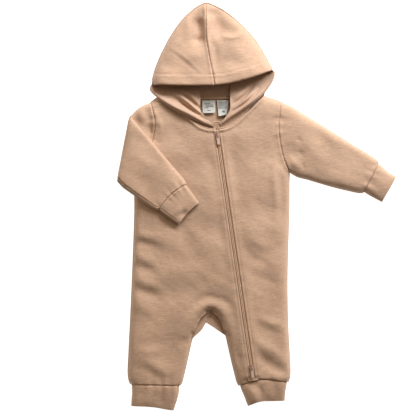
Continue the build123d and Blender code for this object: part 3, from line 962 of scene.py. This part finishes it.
# ---------------- sleeves and cuffs
def joined_sleeve():
    """The left sleeve's outline, with the CAD's cut across it left out."""
    parts = []
    for name, sign in (("left_sleeve_upper", -1), ("left_sleeve_lower", 1)):
        loop = OUTLINES[name]
        away = (loop - LEFT_FOLD[0]) @ LEFT_FOLD_SIDE
        keep = sign * away > 0.9 * MM
        start = int(np.flatnonzero(keep & ~np.roll(keep, 1))[0])
        order = np.roll(np.arange(len(loop)), -start)
        parts.append(loop[order][keep[order]])
    return evened(np.vstack(parts))


sleeve_loop = joined_sleeve()
left_sleeve = tube("left_sleeve", sleeve_loop, on_free, ground_top, ground_bottom, fleece)
declare(left_sleeve, None, ["left_sleeve_upper", "left_sleeve_lower"], 2, sleeve_loop)
fold_mid, half_bend = LEFT_FOLD.mean(0), 14 * MM * LEFT_FOLD_SIDE
bend_start, bend_end = fold_mid - half_bend, fold_mid + half_bend
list(bend_start)
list(bend_end)
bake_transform(left_sleeve)
CUFF_BODIES = {"left_wrist_cuff": "left_forearm", "left_ankle_cuff": "body", "right_ankle_cuff": "body"}
for name, body in CUFF_BODIES.items():
    cuff = tube(name + "_cloth", OUTLINES[name], on_free, cuff_top, ground_bottom, cuff_fleece)
    declare(cuff, body, [name], 2, OUTLINES[name])

upper_loop, lower_loop = OUTLINES["right_sleeve_upper"], OUTLINES["right_sleeve_lower"]
upper = tube("right_sleeve_above", upper_loop, or_crease(on_free), ground_top, ground_bottom, fleece)
declare(upper, "body", ["right_sleeve_upper"], 2, upper_loop)
forearm = tube(
    "right_sleeve_below", lower_loop, or_crease(on_arm_free), arm_top, arm_bottom, fleece, LAYERED_RINGS
)
declare(forearm, "right_forearm", ["right_sleeve_lower"], 2, lower_loop)

# the crease's section from the upper sleeve to the forearm: how far in and how high, in millimetres
CREASE_SECTION = [
    (4.5, 4.4), (1.6, 8), (0.1, 13), (-0.6, 17), (-0.8, 19.5), (-0.5, 21.6), (0.3, 23.4), (2.2, 25.2),
]


def fold_skin():
    """The cloth that goes round the crease, from the upper sleeve to the forearm."""
    share = np.linspace(0.025, 0.975, 80)[:, None]
    line = RIGHT_FOLD[0] + (RIGHT_FOLD[1] - RIGHT_FOLD[0]) * share
    from_end = np.minimum(share, 1 - share) * np.linalg.norm(RIGHT_FOLD[1] - RIGHT_FOLD[0])
    full = 1 - fading(from_end, 3.4 * MM)
    rows = []
    for inward, z in CREASE_SECTION:
        pinched = 4.5 + (z - CREASE_SECTION[0][1]) * 17.5 / 20.8
        height = (pinched + (z - pinched) * full) * MM
        rows.append(np.c_[line - RIGHT_FOLD_SIDE * (inward + 2.2 * (1 - full)) * MM, height])
    faces = flipped(grid_faces(len(rows), len(line)))
    return build("right_sleeve_crease", np.vstack(rows), faces, fleece)


crease = thicken(fold_skin(), 0.8 * MM)
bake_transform(crease)
cuff_loop = OUTLINES["right_wrist_cuff"]
cuff = tube("right_wrist_cuff_cloth", cuff_loop, on_arm_free, arm_top, arm_bottom, cuff_fleece, LAYERED_RINGS)
declare(cuff, "right_forearm", ["right_wrist_cuff"], 2, cuff_loop)


# ---------------- hood
hood_side = smooth_line(HOOD_SIDES, 1.5 * MM)
brim = smooth_line(BRIM, 1.5 * MM)
crown_seam = smooth_line(CROWN_SEAM, 1.5 * MM)
near_hood_side = Near(spaced(hood_side, 0.4 * MM))
near_brim = Near(spaced(brim, 0.4 * MM))
near_crown_seam = Near(crown_seam)
tip = nearest(hood_side, crown_seam[0])
HOOD_EDGE_Z = 5.5 * MM  # where the hood's upper and back layers meet
CROWN_DENTS = [
    (-13, -103, 317, 10, 22), (-7, -105, 298, 10, 7), (3, -124, 330, 8, 22), (3, -112, 268, 22, 14),
    (-9, -70, 326, 14, 21), (-3, -48, 312, 16, 14), (-4, -88, 346, 22, 8), (-7, -108, 330, 11, 12),
]
CROWN_FOLDS = [
    (2.6, 3.0, (-89, 356), (-88, 330), (-88, 305), (-85, 270), (-80, 240)),
    (2.6, 5, (-66, 306), (-52, 302), (-38, 303), (-24, 314)),
    (-1.8, 6, (-80, 300), (-74, 276), (-73, 250)),
    (0.65, 3.4, (-166, 292), (-130, 266), (-92, 232)),
    (-0.4, 3.4, (-166, 285), (-130, 259), (-94, 226)),
    (-1.2, 12, (-178, 262), (-150, 250), (-118, 240)),
    (-1.2, 12, (-66, 268), (-38, 256), (-10, 248)),
    (1.2, 12, (-66, 252), (-36, 240), (4, 250)),
]


def crown_top(points):
    """The height of the hood's upper layer, highest above the mouth."""
    d, seam, edge = (near(points)[0] for near in (near_hood_side, near_crown_seam, near_brim))
    forward = ramp(-points[:, 1], -350 * MM, 135 * MM)
    full = (9 + 17 * forward**1.1) * MM
    rise = 1 - fading(d, 7 * MM)
    calm = 1 - fading(d, 9 * MM)
    z = HOOD_EDGE_Z + full * rise + 2.5 * MM * (1 - fading(d, 40 * MM))
    beside_seam = 1 - 0.85 * bell(seam, 3.2 * MM)
    z += calm * beside_seam * dents(points, CROWN_DENTS)
    unevenness = 1.1 * MM * broad(points + 2) + 0.16 * MM * middling(points + 2)
    z += calm * (1.3 * folds(points, CROWN_FOLDS) + unevenness)
    z += calm * (groove(seam, 2.0, 1.1) - groove(seam - 3.2 * MM, 0.8, 2.0))
    z += groove(edge - 19 * MM, 1.1, 1.1) - groove(edge - 16 * MM, 0.6, 2.2)
    z -= 2.4 * MM * fading(edge, 1.2 * MM)
    return z


def crown_half(side):
    """The crown's outline on one side of its centre seam."""
    foot = nearest(brim, crown_seam[-1])
    first, last = nearest(crown_seam, hood_side[tip]), nearest(crown_seam, brim[foot])
    middle = crown_seam[first + 2 : last - 1]
    if side == "right":
        return np.vstack([hood_side[: tip + 1][::-1], brim[1 : foot + 1], middle[::-1]])
    return np.vstack([hood_side[tip:][::-1], middle, brim[foot:][:-1]])


def hood_back(points):
    """The height of the hood's back layer."""
    return BACK_Z + (HOOD_EDGE_Z - BACK_Z) * fading(near_hood_side(points)[0], 3.2 * MM)


def back_half(side):
    """The hood's back layer on one side, from the tip down to the neck seam."""
    middle = [[hood_side[tip, 0], NECK_Y]]
    if side == "right":
        return np.vstack([hood_side[: tip + 1][::-1], mm((-176, 198)), middle])
    return np.vstack([hood_side[tip:][::-1], middle, mm((8, 198))])


def merge(name, first, second):
    """Two pieces as one."""
    with bpy.context.temp_override(active_object=first, selected_editable_objects=[first, second]):
        bpy.ops.object.join()
    first.name = name
    return first


def hood_layer(name, side, node, crown, nape):
    """One side of the hood: its crown and its back layer, joined as one piece."""
    over, under = anticlockwise(evened(crown_half(side))), evened(anticlockwise(back_half(side)))
    piece = merge(name, top_sheet("crown", over, *crown), bottom_sheet("nape", under, *nape))
    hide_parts(node)
    wide, long = np.ptp(under, axis=0)
    area = (signed_area(over) + signed_area(under)) * 1.08
    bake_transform(piece)


def lining_crown(points):
    return crown_top(points) - 2.3 * MM


def lining_back(points):
    return hood_back(points) + 2.2 * MM


JERSEY_THICKNESS = 0.8 * MM
for side in ("left", "right"):
    hood_layer(
        f"hood_shell_{side}", side, f"hood_outer_{side}",
        crown=(crown_top, fleece), nape=(hood_back, fleece, 5 * MM),
    )
    hood_layer(
        f"hood_lining_cloth_{side}", side, f"hood_lining_{side}",
        crown=(lining_crown, jersey, 4 * MM, JERSEY_THICKNESS),
        nape=(lining_back, jersey, 5 * MM, JERSEY_THICKNESS),
    )

# ---------------- the hood's front edges
# each edge goes from the neck seam over its lip and inwards, and has folds of its own
EDGES = {
    "right": {
        "seam": mm((-176, 200), (-150, 178), (-124, 159), (-100, 144), (-76, 138)),
        "lip": mm(
            (-187.5, 220), (-191, 214), (-189.5, 206), (-176.5, 194),
            (-155, 176), (-125, 160), (-102, 151), (-78, 142),
        ),
        "inner": mm(
            (-176, 236), (-140, 232), (-108, 228), (-101, 216), (-101, 190), (-100.5, 172), (-79, 146),
        ),
        "folds": [
            (2.2, 5, (-176, 200), (-150, 182), (-118, 166), (-90, 152)),
            (-2.6, 3.6, (-160, 204), (-132, 184), (-108, 167), (-88, 152)),
            (2.4, 5, (-158, 214), (-126, 190), (-106, 172), (-90, 158)),
            (-3.2, 3.2, (-136, 206), (-116, 188), (-98, 170)),
            (2.0, 5, (-140, 216), (-118, 200), (-104, 184)),
        ],
    },
    "left": {
        "seam": mm((12, 198), (-8, 178), (-30, 158), (-48, 143), (-68, 138)),
        "lip": mm(
            (29, 244.5), (32.5, 239), (29, 226), (16, 207), (-2, 189), (-21, 175), (-45, 160), (-62, 148),
        ),
        "inner": mm((8, 250), (-20, 242), (-42, 234), (-48, 218), (-48, 190), (-49, 172), (-63, 151)),
        "folds": [
            (2.0, 5, (20, 222), (-6, 192), (-34, 170), (-56, 154)),
            (-2.2, 3.6, (8, 214), (-14, 190), (-38, 171), (-54, 158)),
            (2.2, 5, (2, 214), (-22, 190), (-44, 172)),
            (-2.6, 3.4, (-2, 222), (-20, 200), (-36, 186), (-47, 182)),
            (1.8, 5, (-14, 216), (-30, 202), (-44, 192)),
        ],
    },
}


def lip_height(points):
    """How high a hood edge lies: low off the shoulder and higher over the chest."""
    over_body = ramp(-points[:, 1], -214 * MM, 34 * MM)
    return (13.5 + 9.5 * over_body * over_body * (3 - 2 * over_body)) * MM


def under_the_brim(points):
    """1 under the brim of the hood, fading away from its edge."""
    out = np.interp(points[:, 0], brim[:, 0], brim[:, 1]) - points[:, 1]
    return fading(np.clip(out, 0, None), 15 * MM)


EDGE_STEPS, EDGE_ROWS = 150, 52
SEAM_ROWS = 4  # of fleece, from the neck seam up to the lip


def edge_points(edge):
    """The rows of points of a front edge, from its seam over its lip to its inner side."""
    share = np.linspace(0, 1, EDGE_STEPS)
    seam, lip, inner = (along(smooth_line(edge[k]), share) for k in ("seam", "lip", "inner"))
    z_lip = lip_height(lip)
    rows = [
        np.c_[seam, np.minimum(z_lip - 6.5 * MM, 16.0 * MM)],
        np.c_[seam * 0.6 + lip * 0.4, np.minimum(z_lip - 8.5 * MM, 13.5 * MM)],
        np.c_[seam * 0.1 + lip * 0.9, np.minimum(z_lip - 7.5 * MM, 15.5 * MM)],
        np.c_[lip, z_lip - 4.5 * MM],
    ]
    width = norms(inner - lip)
    for t in np.linspace(0, 1, EDGE_ROWS) ** 1.15:
        at = lip + (inner - lip) * t
        inward = width * t
        drop = 10.5 * MM * ramp(inward, 0, 60 * MM) ** 0.8
        roll = 3.0 * MM * fading(inward, 1.6 * MM)
        z = z_lip - roll - drop + 0.6 * MM * bell(inward - 4 * MM, 3 * MM)
        z += groove(inward - 9 * MM, 0.7, 0.9)
        loose = ramp(inward, 0, 4 * MM) * np.clip(width / (22 * MM), 0.25, 1)
        z += 2.6 * folds(at, edge["folds"]) * loose
        off_the_lip = ramp(inward, 2.5 * MM, 9 * MM)
        z -= np.clip(z - 3.5 * MM, 0, 18 * MM) * under_the_brim(at) * off_the_lip
        z += 0.2 * MM * middling(at + 3)
        rows.append(np.c_[at, z])
    rows.append(rows[-1] - np.array([0, 0, 3.2 * MM]))
    return rows


for side, edge in EDGES.items():
    rows = edge_points(edge)
    faces = grid_faces(len(rows), EDGE_STEPS)
    if side == "left":
        faces = flipped(faces)
    front_edge = build(f"hood_edge_{side}", np.vstack(rows), faces, jersey)
    front_edge.data.materials.append(fleece)
    for k, polygon in enumerate(front_edge.data.polygons):
        polygon.material_index = 1 if k < SEAM_ROWS * (EDGE_STEPS - 1) else 0
    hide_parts(f"hood_front_edge_{side}")
    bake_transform(front_edge)

# ---------------- neck tape and labels
NECK_TAPE, NECK_TAPE_WIDTH = mm((-101, 194.8), (-47, 194.8)), 6 * MM


def neck_tape_strip(across=5):
    """The tape along the back neck seam, slightly rounded."""
    line = spaced(NECK_TAPE, 1.6 * MM)
    side = leftward(np.gradient(line, axis=0))
    rows = []
    for share in np.linspace(-0.5, 0.5, across):
        z = 3.0 * MM + 2.6 * MM * (1 - (2 * share) ** 2)
        rows.append(np.c_[line + side * share * NECK_TAPE_WIDTH, np.full(len(line), z)])
    points = np.stack(rows, 1).reshape(-1, 3)
    return build("neck_tape_cloth", points, grid_faces(len(line), across), neck_weave)


declare(neck_tape_strip(), "body", ["neck_tape"])


def label(name, corners, node, marks):
    """A satin label with soft corners that lifts a little at its lower end."""
    loop = anticlockwise(evened(corners, 1.2 * MM))
    top = loop[:, 1].max()
    middle = loop[:, 0].mean()

    def height(points):
        down = (top - points[:, 1]) / (26 * MM)
        curl = 1.6 * MM * down**2 + 0.5 * MM * np.sin((points[:, 0] - middle) / (5 * MM) + 2 * down)
        return 5.2 * MM + curl

    piece = top_sheet(name, loop, height, satin, 2 * MM, 0.3 * MM)
    declare(piece, "body", [node], 1, loop)
    points, faces = [], []
    for x, y, length, tall in marks:
        start = len(points)
        for dx, dy in ((0, 0), (length, 0), (length, -tall), (0, -tall)):
            points.append((x + dx, y + dy))
        faces.append((start + 3, start + 2, start + 1, start))
    flat = mm(*points)
    printed = build(name + "_marks", np.c_[flat, height(flat) + 0.4 * MM], faces, ink)
    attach(printed, "body")


# plain marks that spell nothing: left end, top, length and height, in millimetres
BRAND_MARKS = [
    (-94.5, 185.8, 12, 1.1), (-92, 183.2, 13.5, 1.3), (-90, 180.6, 12.5, 1.3),
    (-93.5, 178.2, 7, 0.9), (-88.5, 173.4, 6, 1.0),
]
CARE_MARKS = [(-68.5, 188.4 - 1.9 * k, 15.5 - (k * 5 % 4), 0.8) for k in range(7)]
CARE_MARKS.append((-61.5, 172.8, 4.2, 3.4))
BRAND_CORNERS = mm((-98, 191), (-74.5, 191), (-74.5, 168.5), (-97, 168))
CARE_CORNERS = mm((-71.5, 191), (-50, 191), (-54, 165), (-68.5, 162.5))
label("brand_label_cloth", BRAND_CORNERS, "brand_label", BRAND_MARKS)
label("care_label_cloth", CARE_CORNERS, "care_label", CARE_MARKS)

# ---------------- zip
ZIP_ABOVE, ZIP_BELOW = 13 * MM, 18 * MM  # tape above the top stops and below the bottom stops
TAPE_Z, TEETH_Z = 17.4 * MM, 17.9  # the second in millimetres
TOOTH_PITCH = 1.9 * MM
TOOTH_SECTION = [(-0.5, 0.0), (-0.38, 0.75), (0.0, 1.0), (0.38, 0.75), (0.5, 0.0)]  # along the zip, and up
TOOTH_REACHES = (0.38, 0.75, 1.4, 1.9)  # across the zip, in millimetres


def on_zip(down, side, z):
    """Points at these places along and across the zip."""
    down, side, z = np.broadcast_arrays(down, side, z)
    flat = ZIP_TOP + down[..., None] * ZIP_DOWN + side[..., None] * ZIP_SIDE
    return np.concatenate([flat, z[..., None]], -1)


def zip_tape(side, sign, steps=240, across=5):
    """The tape on one side of the zip."""
    down = np.linspace(-ZIP_ABOVE, ZIP_RUN + ZIP_BELOW, steps)[:, None]
    out = sign * np.linspace(0.6 * MM, 12 * MM, across)[None]
    faces = grid_faces(steps, across)
    points = on_zip(down, out, TAPE_Z).reshape(-1, 3)
    return build(f"zip_tape_{side}_cloth", points, faces if sign > 0 else flipped(faces), tape)


def zip_teeth(side, sign):
    """The turns of one coil, which the other side's turns lie between."""
    points, faces = [], []
    rows, columns = len(TOOTH_REACHES), len(TOOTH_SECTION)
    for k in range(int((ZIP_RUN + 8 * MM) / TOOTH_PITCH)):
        down = -4 * MM + (k + 0.25 * sign) * TOOTH_PITCH
        start = len(points)
        for reach in TOOTH_REACHES:
            tall = 2.3 if 0.5 < reach < 1.5 else 1.5
            for along_zip, lift in TOOTH_SECTION:
                z = (TEETH_Z + lift * tall) * MM
                points.append(on_zip(down + along_zip * 1.85 * MM, sign * reach * MM, z))
        skin = grid_faces(rows, columns, start)
        faces += skin if sign > 0 else flipped(skin)
        last = start + rows * columns - 1
        faces.append(tuple(start + b for b in range(columns)))
        faces.append(tuple(last - b for b in range(columns)))
    return build(f"zip_coil_{side}_teeth", np.array(points), faces, coil)


for side, sign in (("left", 1), ("right", -1)):
    ribbon = thicken(zip_tape(side, sign), 0.6 * MM)
    declare(ribbon, "body", [f"zipper_tape_{side}"])
    declare(zip_teeth(side, sign), "body", [f"zipper_coil_{side}"])

GUARD_ABOVE, GUARD_BELOW, GUARD_HALF = 14 * MM, 25 * MM, 9 * MM  # past the zip's ends, and its half-width
guard_turn = np.linspace(0, np.pi, 18)
guard_up, guard_out = GUARD_ABOVE + GUARD_HALF * np.sin(guard_turn), GUARD_HALF * np.cos(guard_turn)
guard_top = on_zip(-guard_up, guard_out, 0.0)[:, :2]
guard_foot = on_zip(ZIP_RUN + GUARD_BELOW, np.array([-GUARD_HALF, GUARD_HALF]), 0.0)[:, :2]
guard_loop = evened(anticlockwise(np.vstack([guard_top, guard_foot])))


def guard_height(points):
    """Flat behind the zip, with its rounded end standing a little forward."""
    down = zip_place(points)[0]
    up = ramp(-down, 7 * MM, 13 * MM)
    foot = ramp(down, ZIP_RUN + 8 * MM, 9 * MM)
    return (14.8 + 3.6 * up + 2.6 * foot) * MM


guard = top_sheet("zip_guard_cloth", guard_loop, guard_height, fleece, 3 * MM, 1.2 * MM)
declare(guard, "body", ["zip_guard"], 1, guard_loop)
guard_rim = bead("zip_guard_rim", guard_top, np.full(len(guard_top), 18.6 * MM), 0.9 * MM)
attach(guard_rim, "body")

for end in ("top", "bottom"):
    metal = {f"{end}_slider": slider_enamel, f"{end}_pull_tab": pull_enamel, f"zipper_{end}_stops": coil}
    for node, finish in metal.items():
        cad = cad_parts[node]
        cad.data.materials.clear()
        cad.data.materials.append(finish)


# ---------------- topstitching
STITCH, STITCH_GAP = 2.6 * MM, 0.9 * MM
STITCH_ENDS_DOWN = 0.12 * MM * np.array([-1.5, 1, 1, -1.5])  # each stitch dips into the cloth at both ends


def stitches(name, line, height, body):
    """A row of thread dashes that lie on the cloth."""
    run = spaced(np.asarray(line), 0.5 * MM)
    count = int(norms(np.diff(run, axis=0)).sum() / (STITCH + STITCH_GAP))
    points, faces = [], []
    for k in range(count):
        share = (k + np.linspace(0, STITCH / (STITCH + STITCH_GAP), 4)) / count
        at = along(run, np.clip(share, 0, 1))
        ahead = at[-1] - at[0]
        side = np.array([-ahead[1], ahead[0]]) / max(np.linalg.norm(ahead), 1e-9) * 0.26 * MM
        faces += grid_faces(4, 3, len(points))
        for p, z in zip(at, height(at) + STITCH_ENDS_DOWN):
            points += [(*(p - side), z - 0.1 * MM), (*p, z + 0.16 * MM), (*(p + side), z - 0.1 * MM)]
    piece = build(name, np.array(points), faces, thread)
    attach(piece, body)


def shifted(line, distance):
    """A line moved to its left."""
    line = spaced(np.asarray(line), 2 * MM)
    return line + leftward(np.gradient(line, axis=0)) * distance


for name, side in (("left", 7.4), ("right", -7.4)):
    start, end = on_zip(np.array([-4 * MM, ZIP_RUN + 16 * MM]), side * MM, 0.0)[:, :2]
    stitches(f"zip_stitches_{name}", [start, end], ground_top, "body")
right_neck, left_neck = NECK_LIP[NECK_LIP[:, 0] < -82 * MM], NECK_LIP[NECK_LIP[:, 0] > -60 * MM]
stitches("neck_stitches_right", shifted(right_neck, -6.5 * MM), ground_top, "body")
stitches("neck_stitches_left", shifted(left_neck, -6.5 * MM), ground_top, "body")
stitches("arch_stitches", shifted(ARCH, -4.5 * MM), ground_top, "body")
stitches("brim_stitches", shifted(brim, 19 * MM)[6:-8], crown_top, "hood")
crown_run = crown_seam[(crown_seam[:, 1] < 350 * MM) & (crown_seam[:, 1] > 222 * MM)]
for name, side in (("left", 4.2), ("right", -4.2)):
    stitches(f"crown_stitches_{name}", shifted(crown_run, side * MM), crown_top, "hood")

# ---------------- floor, light and camera
floor_material, _, floor_body = shader("floor", (0.6, 0.6, 0.6), 0.9, specular=0.1)
floor_body.inputs["Emission Color"].default_value = (1, 0.99, 0.975, 1)
floor_body.inputs["Emission Strength"].default_value = 0.96
floor = bpy.data.objects.new("floor", bpy.data.meshes.new("floor"))
FLOOR = 6  # metres from the middle to each side
corners = [(x * FLOOR, y * FLOOR, 0) for x, y in ((-1, -1), (1, -1), (1, 1), (-1, 1))]
floor.data.from_pydata(corners, [], [(0, 1, 2, 3)])
floor.data.materials.append(floor_material)
bpy.context.scene.collection.objects.link(floor)
floor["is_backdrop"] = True

SKY_BELOW, SKY_ABOVE = 0.05, 1.12  # the soft light from the hem's side and from the hood's side
world = bpy.data.worlds.new("studio")
world.use_nodes = True
sky = world.node_tree
sky.nodes["Background"].inputs["Color"].default_value = (1, 0.865, 0.73, 1)
direction = sky.nodes.new("ShaderNodeTexCoord")
facing = sky.nodes.new("ShaderNodeVectorMath")
level = sky.nodes.new("ShaderNodeMapRange")
facing.operation = "DOT_PRODUCT"
facing.inputs[1].default_value = (0.25, 0.97, 0)
level.inputs["From Min"].default_value = -0.35
level.inputs["From Max"].default_value = 0.9
level.inputs["To Min"].default_value = SKY_BELOW
level.inputs["To Max"].default_value = SKY_ABOVE
sky.links.new(direction.outputs["Generated"], facing.inputs[0])
sky.links.new(facing.outputs["Value"], level.inputs["Value"])
sky.links.new(level.outputs["Result"], sky.nodes["Background"].inputs["Strength"])
bpy.context.scene.world = world


# a long soft lamp beyond the hood, a little to the wearer's left
KEY_PLACE, KEY_TARGET = Vector((0.5, 1.25, 0.82)), Vector((-0.05, 0.05, 0))
lamp = bpy.data.lights.new("key", "AREA")
lamp.shape = "RECTANGLE"
lamp.size, lamp.size_y = 1.1, 0.45
lamp.energy = 32
lamp.color = (0.94, 1.0, 1.12)
key = bpy.data.objects.new("key", lamp)
key.location = KEY_PLACE
key.rotation_euler = (KEY_TARGET - KEY_PLACE).to_track_quat("-Z", "Y").to_euler()
bpy.context.scene.collection.objects.link(key)

CAMERA_HEIGHT = 2.5
HALF_VIEW, CLOTH_MIDDLE_Z = 0.371, 0.015  # half the width in view, at the height of the cloth's middle
view = bpy.data.cameras.new("camera")
camera = bpy.data.objects.new("camera", view)
camera.location = (-87.4 * MM, -1.8 * MM, CAMERA_HEIGHT)
camera.rotation_euler = (0, 0, 0)
view.sensor_width = 36
view.angle = 2 * atan(HALF_VIEW / (CAMERA_HEIGHT - CLOTH_MIDDLE_Z))
bpy.context.scene.collection.objects.link(camera)
bpy.context.scene.camera = camera
bpy.context.scene.view_settings.view_transform = "Standard"

sizes = {"cad": CAD_BOX, "visual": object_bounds()}
{k: [list(c) for c in v] for k, v in sizes.items()}
